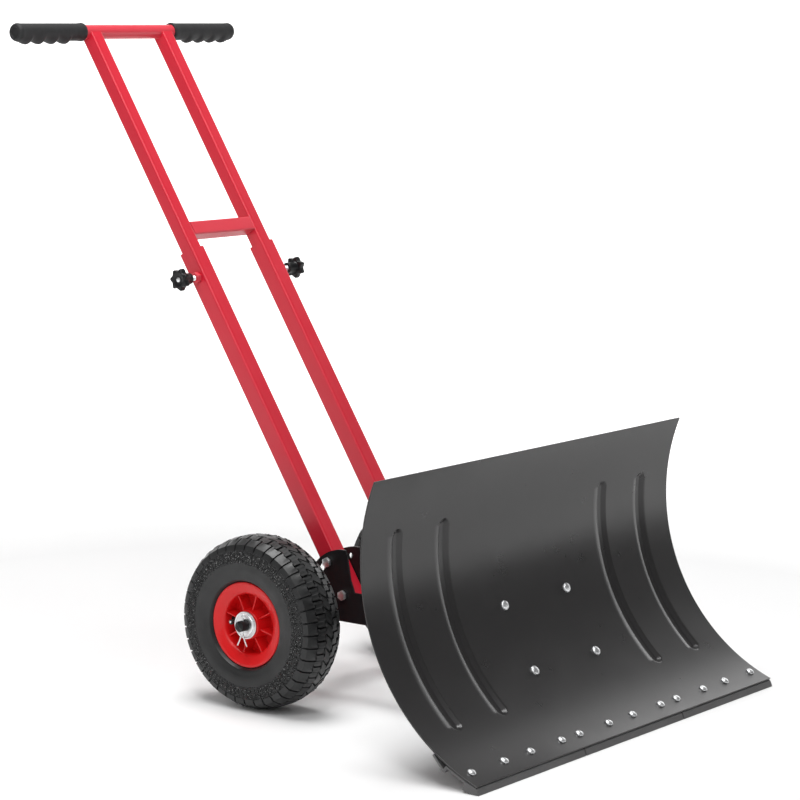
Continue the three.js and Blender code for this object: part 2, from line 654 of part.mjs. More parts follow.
function addRim(side, suffix) {
  const back = [[14.6, -40], [21, -40], [24, 1], [42, 2.5], [47, -26],
    [59.5, -34.5], [62.5, -34.5], [62.5, -32.6], [52, -31]];
  const body = wheelSolid([...RIM_OUTSIDE, ...back], side, 20);
  const ribs = [];
  for (let i = 0; i < RIB_COUNT; i += 1) {
    const turn = rad(RIB_START + 360 * i / RIB_COUNT);
    const rib = new THREE.BoxGeometry(17, 26, 2.8).translate(side * (WHEEL_X + 13), 32.5, 0);
    ribs.push(rib.rotateX(turn).translate(0, 0, AXLE_Z));
  }
  const valveHole = rod(4.8, wheelPoint(side, VALVE_X, 36), wheelPoint(side, VALVE_X, 60), 12);
  const whole = ribs.map(solid).reduce((sum, rib) => sum.add(rib), body);
  addMesh(`rim_${suffix}`, cut(whole, valveHole), PAINT.red);
}

function valveStem(side) {
  const path = new THREE.CatmullRomCurve3([
    wheelPoint(side, VALVE_X, 71), wheelPoint(side, VALVE_X, 44), wheelPoint(side, VALVE_X + 1, 36),
    wheelPoint(side, VALVE_X + 6, 31), wheelPoint(side, VALVE_X + 16, 30),
  ]);
  const section = new THREE.Shape();
  section.absarc(0, 0, 3.6, 0, 2 * Math.PI, false);
  const stem = new THREE.ExtrudeGeometry(section, { steps: 8, extrudePath: path, curveSegments: 4 });
  const cap = rod(3.2, wheelPoint(side, VALVE_X + 15, 30), wheelPoint(side, VALVE_X + 21, 30), 12);
  return join(stem, cap);
}

function addHubParts(side, suffix) {
  const centre = (along) => new THREE.Vector3(side * (WHEEL_X + along), 0, AXLE_Z);
  const bush = solid(rod(BUSH.radius, centre(BUSH.from), centre(BUSH.to), 20));
  const flange = solid(rod(BUSH.flange, centre(BUSH.from), centre(BUSH.from + BUSH.flangeThick), 20));
  const bore = rod(AXLE_RADIUS + GAP, centre(BUSH.from - 1), centre(WASHER.to + 1), 20);
  addMesh(`hub_bush_${suffix}`, cut(bush.add(flange), bore), PAINT.bush);
  const washer = solid(rod(WASHER.radius, centre(WASHER.from), centre(WASHER.to), 28));
  addMesh(`axle_washer_${suffix}`, cut(washer, bore), PAINT.zinc);
}

// Split pin: an eye above the axle, a straight shank through it and two legs bent apart below.
function addCotterPin(side, suffix) {
  const at = (y, z) => new THREE.Vector3(side * PIN_AT, y, AXLE_Z + z);
  const wire = new THREE.Shape();
  wire.absarc(0, 0, 1.2, 0, 2 * Math.PI, false);
  const legs = [-1, 1].map((way) => {
    const path = new THREE.CatmullRomCurve3([
      at(0, -8), at(way * 0.6, -11), at(way * 4, -19), at(way * 8, -29),
    ]);
    return new THREE.ExtrudeGeometry(wire, { steps: 5, extrudePath: path, curveSegments: 3 });
  });
  const eye = new THREE.TorusGeometry(3.6, 1.3, 5, 10).rotateY(Math.PI / 2);
  eye.translate(side * PIN_AT, 0, AXLE_Z + 13.2);
  const shank = rod(1.7, at(0, -9.5), at(0, 10.4), 8);
  addMesh(`cotter_pin_${suffix}`, join(shank, eye, ...legs), PAINT.zinc);
}

// ---------------------------------------------------------------- assembly

addBlade();
addWearStrips();
addBladeFasteners();
addAxle();
addCrossbar();
addBrace();
for (const [side, suffix] of [[-1, 'left'], [1, 'right']]) {
  addArm(side, suffix);
  addArmBolts(side, suffix);
  addLowerTube(side, suffix);
  addUpperTube(side, suffix);
  addGrip(side, suffix);
  addKnob(side, suffix);
  addTyre(side, suffix);
  addInnerTube(side, suffix);
  addRim(side, suffix);
  addWheelSpacer(side, suffix);
  addHubParts(side, suffix);
  addCotterPin(side, suffix);
}

export default group;
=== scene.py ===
import json
import math

import bmesh
import bpy
import numpy as np
from mathutils import Matrix, Vector


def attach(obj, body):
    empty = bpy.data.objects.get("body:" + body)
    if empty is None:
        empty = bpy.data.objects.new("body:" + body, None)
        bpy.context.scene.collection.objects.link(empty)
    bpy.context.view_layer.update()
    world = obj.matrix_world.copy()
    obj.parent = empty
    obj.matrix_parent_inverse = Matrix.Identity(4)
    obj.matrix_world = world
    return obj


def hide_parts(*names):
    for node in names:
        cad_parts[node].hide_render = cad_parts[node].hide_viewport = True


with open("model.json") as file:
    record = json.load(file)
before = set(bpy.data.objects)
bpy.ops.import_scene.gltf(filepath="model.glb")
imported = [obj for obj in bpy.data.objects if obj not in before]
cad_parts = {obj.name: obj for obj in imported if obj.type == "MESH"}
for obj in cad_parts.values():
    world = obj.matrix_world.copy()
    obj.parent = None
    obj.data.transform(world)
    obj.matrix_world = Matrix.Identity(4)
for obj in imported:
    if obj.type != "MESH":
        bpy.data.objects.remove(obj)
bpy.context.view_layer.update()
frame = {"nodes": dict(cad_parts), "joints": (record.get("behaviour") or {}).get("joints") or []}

# Metres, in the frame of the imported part: X across, -Y toward the blade, +Z up.
X_AXIS = Vector((1, 0, 0))
Y_AXIS = Vector((0, 1, 0))
Z_AXIS = Vector((0, 0, 1))
SIDES = ((-1, "left"), (1, "right"))

joints = {joint["name"]: joint for joint in frame["joints"]}
AXLE = Vector((0, *joints["wheel_left_spin"]["pos_m"][1:]))
PIVOT = Vector(joints["handle_tilt"]["pos_m"])
KNOB = Vector((0, *joints["knob_left_turn"]["pos_m"][1:]))
ALONG = Vector(joints["handle_height"]["axis"]).normalized()
ACROSS = X_AXIS.cross(ALONG) * -1

# Blade: one rolled radius and four pressed channels, placed from the axle.
BLADE_HALF = 0.382
BLADE_RADIUS = 0.2882
BLADE_SHEET = 0.002
BLADE_CENTRE = AXLE + Vector((0, -0.615, 0.1564))
BLADE_BOTTOM, BLADE_TOP = -70.3, 22.4
CHANNEL_X = (-0.304, -0.199, 0.199, 0.304)
CHANNEL_HALF = 0.0115
CHANNEL_DEPTH = 0.0045
CHANNEL_FLANK = 0.6
CHANNEL_BOTTOM, CHANNEL_TOP = -51.5, 6.8
STRIP_PITCH = 0.764 / 3
STRIP_BOLT_ANGLE = -65.2
STRIP_BOLT_OFFSETS = (-0.1055, -0.031, 0.031, 0.1055)
BLADE_BOLT_X = 0.0782
BLADE_BOLT_ANGLES = (-41.7, -21.5)
# Bolts: head radius and height, shank radius, nut's place, width across flats and thickness, and tail.
STRIP_BOLT = (0.0062, 0.0042, 0.003, 0.0063, 0.010, 0.0045, 0.0015)
BLADE_BOLT = (0.0074, 0.0046, 0.004, 0.0059, 0.013, 0.0065, 0.0025)

# Handle tubes.
TUBE_X = 0.0814
LOWER_SIDE, LOWER_WALL, LOWER_CORNER = 0.0284, 0.002, 0.0030
UPPER_SIDE, UPPER_WALL, UPPER_CORNER = 0.0228, 0.0015, 0.0026
LOWER_START, LOWER_END = -0.0244, 0.5746
UPPER_START, CROSSBAR_AT = 0.3546, 0.9586
BRACE_AT = 0.6076
BRACE_SIDE = 0.0224
PLATE = 0.003
GAP = 0.0003
TILT_RADIUS = 0.0539
CROSSBAR_RADIUS = 0.011
CROSSBAR_HALF = 0.240
GRIP_START = 0.101
GRIP_RADIUS, GRIP_SWELL = 0.0134, 0.0048
FINGERS, FIRST_FINGER, FINGER_PITCH, FINGER_RISE = 4, 0.031, 0.0276, 0.28

# Wheels.
WHEEL_X = 0.1965
TYRE_RADIUS = 0.127
PIN_AT = WHEEL_X + 0.0425
AXLE_HALF = WHEEL_X + 0.0505
WASHER_AT = WHEEL_X + 0.0345
VALVE_AT = WHEEL_X + 0.0275
VALVE_OUT = 0.030


def on_handle(x, s):
    """A point on the handle tubes' centre line, s metres above the pivot."""
    return Vector((x, PIVOT.y, PIVOT.z)) + ALONG * s


def on_blade(x, angle, out=0.0):
    """A point out metres behind the blade's front face, at an angle about the roll centre."""
    turn = math.radians(angle)
    radius = BLADE_RADIUS + out
    return BLADE_CENTRE + Vector((x, radius * math.cos(turn), radius * math.sin(turn)))


def blade_normal(angle):
    turn = math.radians(angle)
    return Vector((0, math.cos(turn), math.sin(turn)))


# ------------------------------------------------------------------ materials


def new_tree(name):
    material = bpy.data.materials.new(name)
    material.use_nodes = True
    tree = material.node_tree
    tree.nodes.clear()
    output = tree.nodes.new("ShaderNodeOutputMaterial")
    shader = tree.nodes.new("ShaderNodeBsdfPrincipled")
    tree.links.new(shader.outputs["BSDF"], output.inputs["Surface"])
    return material, tree, shader


def noise(tree, scale, detail, rough):
    """A noise value in the object's own place, in metres."""
    place = tree.nodes.new("ShaderNodeTexCoord")
    texture = tree.nodes.new("ShaderNodeTexNoise")
    texture.inputs["Scale"].default_value = scale
    texture.inputs["Detail"].default_value = detail
    texture.inputs["Roughness"].default_value = rough
    tree.links.new(place.outputs["Object"], texture.inputs["Vector"])
    return texture.outputs["Fac"]


def ramp(tree, source, low, high, dark, light):
    """Maps a 0 to 1 value between two places onto two colours."""
    node = tree.nodes.new("ShaderNodeValToRGB")
    node.color_ramp.elements[0].position = low
    node.color_ramp.elements[0].color = (*dark, 1)
    node.color_ramp.elements[1].position = high
    node.color_ramp.elements[1].color = (*light, 1)
    tree.links.new(source, node.inputs["Fac"])
    return node.outputs["Color"]


def spread(tree, source, low, high, start=0.3, end=0.7):
    """Maps start to end onto low to high, and holds it there."""
    node = tree.nodes.new("ShaderNodeMapRange")
    node.inputs["From Min"].default_value = start
    node.inputs["From Max"].default_value = end
    node.inputs["To Min"].default_value = low
    node.inputs["To Max"].default_value = high
    tree.links.new(source, node.inputs["Value"])
    return node.outputs["Result"]


def bump(tree, source, strength, distance, below=None):
    node = tree.nodes.new("ShaderNodeBump")
    node.inputs["Strength"].default_value = strength
    node.inputs["Distance"].default_value = distance
    tree.links.new(source, node.inputs["Height"])
    if below is not None:
        tree.links.new(below, node.inputs["Normal"])
    return node.outputs["Normal"]


def mix_colour(tree, factor, first, second):
    """Mixes a colour from the tree with a fixed one."""
    node = tree.nodes.new("ShaderNodeMix")
    node.data_type = "RGBA"
    tree.links.new(factor, node.inputs["Factor"])
    tree.links.new(first, node.inputs["A"])
    node.inputs["B"].default_value = (*second, 1)
    return node.outputs["Result"]


def edge_wear_and_highlight(tree, low, high):
    """0 on flats, 1 on the sharpest outer edges, where worn paint and painted highlights go."""
    geometry = tree.nodes.new("ShaderNodeNewGeometry")
    return spread(tree, geometry.outputs["Pointiness"], 0.0, 1.0, low, high)


def scaled(colour, factor):
    return tuple(min(1.0, channel * factor) for channel in colour)


def surface(name, colour, roughness, *, metallic=0.0, vary=0.1, patch=9.0, grain=900.0, relief=0.12,
            grain_depth=0.00015, rough_vary=0.08, wear_and_highlight=None, wear_and_highlight_from=0.52, coat=0.0, specular=0.5):
    """A finish: two scales of colour variation, a fine grain in the bump and the roughness, and paler edges
    that stand for wear and, on some finishes, a painted highlight.
    """
    material, tree, shader = new_tree(name)
    broad = noise(tree, patch, 5.0, 0.55)
    fine = noise(tree, grain, 3.0, 0.6)
    base = ramp(tree, broad, 0.3, 0.7, scaled(colour, 1 - vary), scaled(colour, 1 + vary))
    speck = ramp(tree, fine, 0.35, 0.75, scaled(colour, 1 - 0.8 * vary), scaled(colour, 1 + 0.8 * vary))
    half = tree.nodes.new("ShaderNodeMix")
    half.data_type = "RGBA"
    half.inputs["Factor"].default_value = 0.5
    tree.links.new(base, half.inputs["A"])
    tree.links.new(speck, half.inputs["B"])
    result = half.outputs["Result"]
    # Paler colour on the sharpest edges: worn paint, and on the blade and the red tubes also a painted
    # highlight along the edges.
    if wear_and_highlight:
        result = mix_colour(tree, edge_wear_and_highlight(tree, wear_and_highlight_from, wear_and_highlight_from + 0.08), result, wear_and_highlight)
    tree.links.new(result, shader.inputs["Base Color"])
    smudge = noise(tree, patch * 3.1, 6.0, 0.6)
    rough = spread(tree, smudge, roughness - rough_vary, min(1.0, roughness + rough_vary))
    tree.links.new(rough, shader.inputs["Roughness"])
    tree.links.new(bump(tree, fine, relief, grain_depth), shader.inputs["Normal"])
    shader.inputs["Metallic"].default_value = metallic
    shader.inputs["Specular IOR Level"].default_value = specular
    shader.inputs["Coat Weight"].default_value = coat
    shader.inputs["Coat Roughness"].default_value = 0.12
    return material


MATERIALS = {
    # The blade's paler edges stand for worn paint and are partly a painted highlight along the channels'
    # edges.
    "blade": surface("blade_paint", (0.021, 0.020, 0.0205), 0.30, vary=0.07, patch=6.0, grain=1500.0,
                     relief=0.08, grain_depth=0.00008, rough_vary=0.03, wear_and_highlight=(0.16, 0.155, 0.155),
                     wear_and_highlight_from=0.55, specular=0.55),
    "wear_strip": surface("wear_bar_moulding", (0.105, 0.103, 0.104), 0.42, vary=0.16, patch=16.0,
                          grain=1100.0, relief=0.3, grain_depth=0.0002),
    "zinc_fastener": surface("bright_zinc", (0.86, 0.87, 0.88), 0.42, metallic=1.0, vary=0.06, patch=60.0,
                             grain=2200.0, relief=0.08, grain_depth=0.00008),
    "black_steel": surface("black_powder_coat", (0.008, 0.008, 0.009), 0.44, vary=0.14, patch=14.0,
                           grain=1600.0, relief=0.22, grain_depth=0.00012, wear_and_highlight=(0.04, 0.04, 0.04),
                           wear_and_highlight_from=0.57, specular=0.32),
    # The tubes' pale pink edges stand for worn paint and are partly a painted highlight along the rounded
    # corners.
    "red_tube": surface("red_powder_coat", (0.58, 0.012, 0.031), 0.38, vary=0.06, patch=8.0, grain=1500.0,
                        relief=0.10, grain_depth=0.0001, coat=0.22, wear_and_highlight=(0.78, 0.13, 0.16), wear_and_highlight_from=0.60,
                        specular=0.42),
    "red_rim": surface("red_rim_paint", (0.70, 0.008, 0.010), 0.36, vary=0.06, patch=12.0, grain=1300.0,
                       relief=0.08, grain_depth=0.0001, coat=0.12, specular=0.35),
    "grip_rubber": surface("grip_rubber_grain", (0.016, 0.016, 0.017), 0.60, vary=0.18, patch=25.0,
                           grain=1500.0, relief=0.4, grain_depth=0.0002, specular=0.4),
    "knob_plastic": surface("knob_moulding", (0.006, 0.006, 0.007), 0.38, vary=0.14, patch=40.0,
                            grain=1800.0, relief=0.12, grain_depth=0.0001, specular=0.35),
    "tyre_rubber": surface("tyre_rubber_grain", (0.0148, 0.0152, 0.0156), 0.43, vary=0.2, patch=14.0,
                           grain=700.0, relief=0.35, grain_depth=0.0003, rough_vary=0.12,
                           wear_and_highlight=(0.07, 0.07, 0.07), wear_and_highlight_from=0.55),
    "tube_rubber": surface("butyl_rubber", (0.012, 0.012, 0.012), 0.5, vary=0.12, patch=40.0),
    "bush_plastic": surface("bush_nylon", (0.50, 0.48, 0.45), 0.5, vary=0.08, patch=60.0, grain=1500.0),
}


PEBBLE_INNER, PEBBLE_OUTER, PEBBLE_FADE = 0.0895, 0.1095, 0.003
PEBBLE_CELLS = 300.0
PEBBLE_HEIGHT = 0.0030
# Pale colour on the pebbles' tops: a painted glint.
PEBBLE_GLINT_COLOUR = (0.52, 0.52, 0.52)
PEBBLE_TOP_SHINE = 0.30


def add_pebble_band(material):
    """Fine raised cells on a ring of the tyre's side, shinier at their tops, which are also painted paler as
    a painted glint.
    """
    tree = material.node_tree
    shader = tree.nodes["Principled BSDF"]
    place = tree.nodes.new("ShaderNodeTexCoord")
    offset = tree.nodes.new("ShaderNodeVectorMath")
    offset.operation = "SUBTRACT"
    offset.inputs[1].default_value = AXLE
    tree.links.new(place.outputs["Object"], offset.inputs[0])
    flat = tree.nodes.new("ShaderNodeVectorMath")
    flat.operation = "MULTIPLY"
    flat.inputs[1].default_value = (0, 1, 1)
    tree.links.new(offset.outputs["Vector"], flat.inputs[0])
    distance = tree.nodes.new("ShaderNodeVectorMath")
    distance.operation = "LENGTH"
    tree.links.new(flat.outputs["Vector"], distance.inputs[0])
    rise = spread(tree, distance.outputs["Value"], 0.0, 1.0, PEBBLE_INNER, PEBBLE_INNER + PEBBLE_FADE)
    fall = spread(tree, distance.outputs["Value"], 1.0, 0.0, PEBBLE_OUTER - PEBBLE_FADE, PEBBLE_OUTER)
    cells = tree.nodes.new("ShaderNodeTexVoronoi")
    cells.inputs["Scale"].default_value = PEBBLE_CELLS
    tree.links.new(place.outputs["Object"], cells.inputs["Vector"])
    height = spread(tree, cells.outputs["Distance"], 1.0, 0.0, 0.05, 0.62)
    for edge in (rise, fall):
        product = tree.nodes.new("ShaderNodeMath")
        product.operation = "MULTIPLY"
        tree.links.new(height, product.inputs[0])
        tree.links.new(edge, product.inputs[1])
        height = product.outputs["Value"]
    colour_from = shader.inputs["Base Color"].links[0].from_socket
    normal_from = shader.inputs["Normal"].links[0].from_socket
    # The paler colour on the cells' tops is a painted glint; the lower roughness there is real shine.
    tops = spread(tree, height, 0.0, 0.75, 0.5, 0.95)
    tree.links.new(mix_colour(tree, tops, colour_from, PEBBLE_GLINT_COLOUR), shader.inputs["Base Color"])
    shine = tree.nodes.new("ShaderNodeMath")
    shine.operation = "MULTIPLY_ADD"
    shine.inputs[1].default_value = -PEBBLE_TOP_SHINE
    tree.links.new(tops, shine.inputs[0])
    tree.links.new(shader.inputs["Roughness"].links[0].from_socket, shine.inputs[2])
    tree.links.new(shine.outputs["Value"], shader.inputs["Roughness"])
    tree.links.new(bump(tree, height, 1.0, PEBBLE_HEIGHT, normal_from), shader.inputs["Normal"])


add_pebble_band(MATERIALS["tyre_rubber"])


# ------------------------------------------------------------------ mesh helpers


def finish_mesh(name, mesh, body, slot, replaces=(), smooth=32.0):
    work = bmesh.new()
    work.from_mesh(mesh)
    bmesh.ops.remove_doubles(work, verts=work.verts, dist=1e-6)
    bmesh.ops.recalc_face_normals(work, faces=work.faces)
    work.to_mesh(mesh)
    work.free()
    mesh.materials.clear()
    mesh.materials.append(MATERIALS[slot])
    mesh.shade_smooth()
    mesh.set_sharp_from_angle(angle=math.radians(smooth))
    piece = bpy.data.objects.new(name, mesh)
    bpy.context.scene.collection.objects.link(piece)
    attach(piece, body)
    for node in replaces:
        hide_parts(node)
    return piece


def add_piece(name, parts, body, slot, replaces=(), smooth=32.0):
    """One piece from a list of (vertices, faces) parts."""
    vertices = []
    faces = []
    for part_vertices, part_faces in parts:
        start = len(vertices)
        vertices.extend(tuple(v) for v in part_vertices)
        faces.extend(tuple(start + i for i in face) for face in part_faces)
    mesh = bpy.data.meshes.new(name)
    mesh.from_pydata(vertices, [], faces)
    return finish_mesh(name, mesh, body, slot, replaces, smooth)


def stand_for(node, parts, body, slot, smooth=32.0):
    """One piece that stands for a CAD node, named after it."""
    return add_piece(f"{node}_finished", parts, body, slot, (node,), smooth)


def bevel(piece, width, segments=2, angle=35.0):
    modifier = piece.modifiers.new("edge_round", "BEVEL")
    modifier.width = width
    modifier.segments = segments
    modifier.limit_method = "ANGLE"
    modifier.angle_limit = math.radians(angle)
    modifier.harden_normals = False


def loft(rings, loop=False):
    """Faces between rings of equal length, with flat ends, or joined from the last ring to the first."""
    count = len(rings[0])
    vertices = [point for ring in rings for point in ring]
    faces = []
    pairs = len(rings) if loop else len(rings) - 1
    for row in range(pairs):
        low = row * count
        high = ((row + 1) % len(rings)) * count
        for i in range(count):
            j = (i + 1) % count
            faces.append((low + i, low + j, high + j, high + i))
    if not loop:
        faces.append(tuple(range(count - 1, -1, -1)))
        faces.append(tuple(range((len(rings) - 1) * count, len(rings) * count)))
    return vertices, faces


def axes_about(direction):
    direction = direction.normalized()
    helper = X_AXIS if abs(direction.x) < 0.9 else Y_AXIS
    first = direction.cross(helper).normalized()
    return first, direction.cross(first).normalized(), direction


def revolve(profile, direction, origin, segments=48, loop=False):
    """Profile pairs are (radius, distance along); a closed profile makes a ring."""
    first, second, along = axes_about(direction)
    rings = []
    for radius, distance in profile:
        ring = []
        for i in range(segments):
            turn = 2 * math.pi * i / segments
            out = first * math.cos(turn) + second * math.sin(turn)
            ring.append(origin + along * distance + out * max(radius, 1e-5))
        rings.append(ring)
    return loft(rings, loop)


def hex_nut(flats, height, direction, origin):
    """A hexagon with its corners turned off at both ends."""
    corner = flats / math.sqrt(3)
    turned_off = 0.90 * corner
    profile = [(turned_off, 0), (corner, 0.10 * height), (corner, 0.90 * height), (turned_off, height)]
    return revolve(profile, direction, origin, 6)


def rounded_square(side, radius, steps=5):
    """A square with round corners, and a point on each flat close to every corner."""
    half = side / 2 - radius
    near = min(0.0012, half / 2)
    points = []
    for corner, (sx, sy) in enumerate(((1, 1), (-1, 1), (-1, -1), (1, -1))):
        start = Vector((math.cos(math.radians(90 * corner)), math.sin(math.radians(90 * corner))))
        end = Vector((-start.y, start.x))
        centre = Vector((sx * half, sy * half))
        points.append(tuple(centre + start * radius - end * near))
        for i in range(steps + 1):
            turn = math.radians(90 * (corner + i / steps))
            points.append((centre.x + radius * math.cos(turn), centre.y + radius * math.sin(turn)))
        points.append(tuple(centre + end * radius - start * near))
    return points


def square_tube(side, wall, corner, frames):
    """A square tube with open ends; frames are (centre, first axis, second axis) along it."""
    outer = rounded_square(side, corner)
    inner = rounded_square(side - 2 * wall, max(corner - wall, 0.0004))

    def ring(section, place):
        centre, first, second = place
        return [centre + first * a + second * b for a, b in section]

    rings = [ring(outer, place) for place in frames]
    rings += [ring(inner, place) for place in reversed(frames)]
    return loft(rings, loop=True)


def sweep(points, radius, segments=14):
    """A round wire along a list of points."""
    count = len(points)
    rings = []
    side = None
    for i, point in enumerate(points):
        ahead = points[min(i + 1, count - 1)] - points[max(i - 1, 0)]
        ahead.normalize()
        if side is None:
            side = axes_about(ahead)[0]
        side = (side - ahead * side.dot(ahead)).normalized()
        other = ahead.cross(side)
        ring = []
        for k in range(segments):
            turn = 2 * math.pi * k / segments
            ring.append(point + (side * math.cos(turn) + other * math.sin(turn)) * radius)
        rings.append(ring)
    return loft(rings)


def refine(node, body, slot, width, segments=2, angle=30.0):
    """A copy of a CAD node with flat faces joined up and its edges rounded, which stands for it."""
    source = frame["nodes"][node]
    mesh = source.data.copy()
    work = bmesh.new()
    work.from_mesh(mesh)
    bmesh.ops.remove_doubles(work, verts=work.verts, dist=2e-6)
    bmesh.ops.dissolve_limit(work, angle_limit=math.radians(1.0), verts=work.verts, edges=work.edges)
    work.to_mesh(mesh)
    work.free()
    for layer in list(mesh.uv_layers):
        mesh.uv_layers.remove(layer)
    piece = finish_mesh(f"{node}_finished", mesh, body, slot, (node,), angle)
    if width:
        bevel(piece, width, segments, angle)
    return piece


# ------------------------------------------------------------------ blade


def channel_depth(x, angle):
    arc = math.radians(angle) * BLADE_RADIUS
    low = math.radians(CHANNEL_BOTTOM) * BLADE_RADIUS + CHANNEL_HALF
    high = math.radians(CHANNEL_TOP) * BLADE_RADIUS - CHANNEL_HALF
    along = max(low - arc, arc - high, 0.0)
    near = min(math.hypot(x - centre, along) for centre in CHANNEL_X)
    if near >= CHANNEL_HALF:
        return 0.0
    return CHANNEL_DEPTH * min(1.0, (1 - near / CHANNEL_HALF) / CHANNEL_FLANK)


def stations(low, high, step, centres, reach, fine):
    """Evenly spaced places, closer together around each centre."""
    places = set(np.round(np.arange(low, high + step / 2, step), 6))
    places.update((low, high))
    for centre in centres:
        places.update(np.round(np.arange(centre - reach, centre + reach + fine / 2, fine), 6))
    ordered = sorted(p for p in places if low <= p <= high)
    kept = [ordered[0]]
    for place in ordered[1:]:
        if place - kept[-1] > fine * 0.45:
            kept.append(place)
    kept[-1] = high
    return kept


def add_blade():
    across = stations(-BLADE_HALF, BLADE_HALF, 0.018, CHANNEL_X, CHANNEL_HALF, CHANNEL_HALF / 12)
    end = math.degrees(CHANNEL_HALF / BLADE_RADIUS)
    channel_ends = (CHANNEL_BOTTOM + end / 2, CHANNEL_TOP - end / 2)
    up = stations(BLADE_BOTTOM, BLADE_TOP, 1.4, channel_ends, end, end / 12)
    layers = []
    for back in (0.0, BLADE_SHEET):
        layers.append([[on_blade(x, angle, back + channel_depth(x, angle)) for x in across] for angle in up])
    columns = len(across)
    rows = len(up)
    vertices = [point for layer in layers for row in layer for point in row]
    faces = []

    def at(layer, row, column):
        return (layer * rows + row) * columns + column

    for row in range(rows - 1):
        above = row + 1
        for column in range(columns - 1):
            corners = [(row, column), (row, column + 1), (above, column + 1), (above, column)]
            faces.append(tuple(at(0, *corner) for corner in corners))
            faces.append(tuple(at(1, *corner) for corner in reversed(corners)))
        for column in (0, columns - 1):
            faces.append((at(0, row, column), at(0, above, column), at(1, above, column), at(1, row, column)))
    for row in (0, rows - 1):
        for column in range(columns - 1):
            beside = column + 1
            faces.append((at(0, row, column), at(1, row, column), at(1, row, beside), at(0, row, beside)))
    piece = add_piece("blade_sheet", [(vertices, faces)], "chassis", "blade", ("blade",), 40.0)
    bevel(piece, 0.0004, 2, 60.0)


def domed_bolt(node, x, angle, size):
    """Domed head on the blade's face, shank, and a hexagon nut behind."""
    radius, height, shank, seat, flats, thick, tail = size
    normal = blade_normal(angle)
    face = on_blade(x, angle)
    head = [(0, 0), (radius * 0.98, 0), (radius, -0.0004), (radius * 0.99, -0.0010)]
    for t in range(1, 7):
        turn = math.radians(15 * t)
        head.append((radius * 0.99 * math.cos(turn), -0.0010 - (height - 0.0010) * math.sin(turn)))
    tip = seat + thick + tail
    rod = [(0, 0), (shank, 0), (shank, tip - shank * 0.2), (shank * 0.8, tip), (0, tip)]
    parts = [
        revolve(head, normal, face - normal * 0.0001, 32),
        revolve(rod, normal, face, 20),
        hex_nut(flats, thick, normal, face + normal * seat),
    ]
    stand_for(node, parts, "chassis", "zinc_fastener", 40.0)


def add_blade_bolts():
    count = 0
    for centre in (-STRIP_PITCH, 0.0, STRIP_PITCH):
        for offset in STRIP_BOLT_OFFSETS:
            count += 1
            domed_bolt(f"strip_bolt_{count:02d}", centre + offset, STRIP_BOLT_ANGLE, STRIP_BOLT)
    count = 0
    for x in (-BLADE_BOLT_X, BLADE_BOLT_X):
        for angle in BLADE_BOLT_ANGLES:
            count += 1
            domed_bolt(f"blade_bolt_{count}", x, angle, BLADE_BOLT)


def add_wear_strips():
    """The three strips, with their facing ends drawn in a little, so that the joints between them show."""
    end_zone, drawn_in = 0.002, 0.0008
    for side, name in ((-1, "wear_strip_left"), (0, "wear_strip_centre"), (1, "wear_strip_right")):
        piece = refine(name, "chassis", "wear_strip", 0.0006, 3)
        for vertex in piece.data.vertices:
            across = vertex.co.x - side * STRIP_PITCH
            if abs(across) > STRIP_PITCH / 2 - end_zone and abs(vertex.co.x) < BLADE_HALF - 0.003:
                vertex.co.x -= math.copysign(drawn_in, across)


# ------------------------------------------------------------------ arms


def add_arms():
    for _, suffix in SIDES:
        for node in ("arm_outer_plate", "arm_inner_plate", "arm_web", "blade_pad"):
            refine(f"{node}_{suffix}", "chassis", "black_steel", 0.0005, 2)


def cross_bolt(node, side, place, body):
    """Hexagon bolt through one arm: a turned head outside, a washer and a nut inside."""
    flats, head_height, collar, washer_height, nut_height = 0.013, 0.0047, 0.0006, 0.0016, 0.0064
    out = X_AXIS * side
    outer = TUBE_X + LOWER_SIDE / 2 + GAP + PLATE + GAP
    inner = TUBE_X - LOWER_SIDE / 2 - GAP - PLATE - GAP
    tail = inner - 0.010

    def at(x):
        return Vector((side * x, place.y, place.z))

    washer = [(0.0042, 0), (0.0078, 0), (0.0080, 0.0002), (0.0080, 0.0014), (0.0078, washer_height),
              (0.0042, washer_height)]
    shank = [(0, 0), (0.0032, 0), (0.004, 0.0012), (0.004, outer - tail), (0, outer - tail)]
    parts = [
        revolve(shank, out, at(tail), 20),
        revolve([(0, 0), (0.0060, 0), (0.0061, collar), (0, collar)], out, at(outer), 32),
        hex_nut(flats, head_height, out, at(outer + collar)),
        revolve(washer, out, at(inner - washer_height), 32, loop=True),
        hex_nut(flats, nut_height, out, at(inner - washer_height - nut_height)),
    ]
    stand_for(node, parts, body, "zinc_fastener", 40.0)


def add_arm_bolts():
    angle_point = on_handle(0, TILT_RADIUS)
    for side, suffix in SIDES:
        cross_bolt(f"pivot_bolt_{suffix}", side, PIVOT, "chassis")
        cross_bolt(f"angle_bolt_{suffix}", side, angle_point, "handle_lower")


# ------------------------------------------------------------------ handle


def straight_frames(x, start, end, chamfer=0.0004):
    return [(on_handle(x, s), X_AXIS, ACROSS) for s in (start, start + chamfer, end - chamfer, end)]


def add_lower_tubes():
    for side, suffix in SIDES:
        frames = straight_frames(side * TUBE_X, LOWER_START, LOWER_END)
        tube = square_tube(LOWER_SIDE, LOWER_WALL, LOWER_CORNER, frames)
        stand_for(f"lower_tube_{suffix}", [tube], "handle_lower", "red_tube")
        face = TUBE_X + LOWER_SIDE / 2
        out = X_AXIS * side
        nut = hex_nut(0.015, 0.008, out, Vector((side * face, KNOB.y, KNOB.z)))
        add_piece(f"weld_nut_{suffix}", [nut], "handle_lower", "red_tube", (), 25.0)


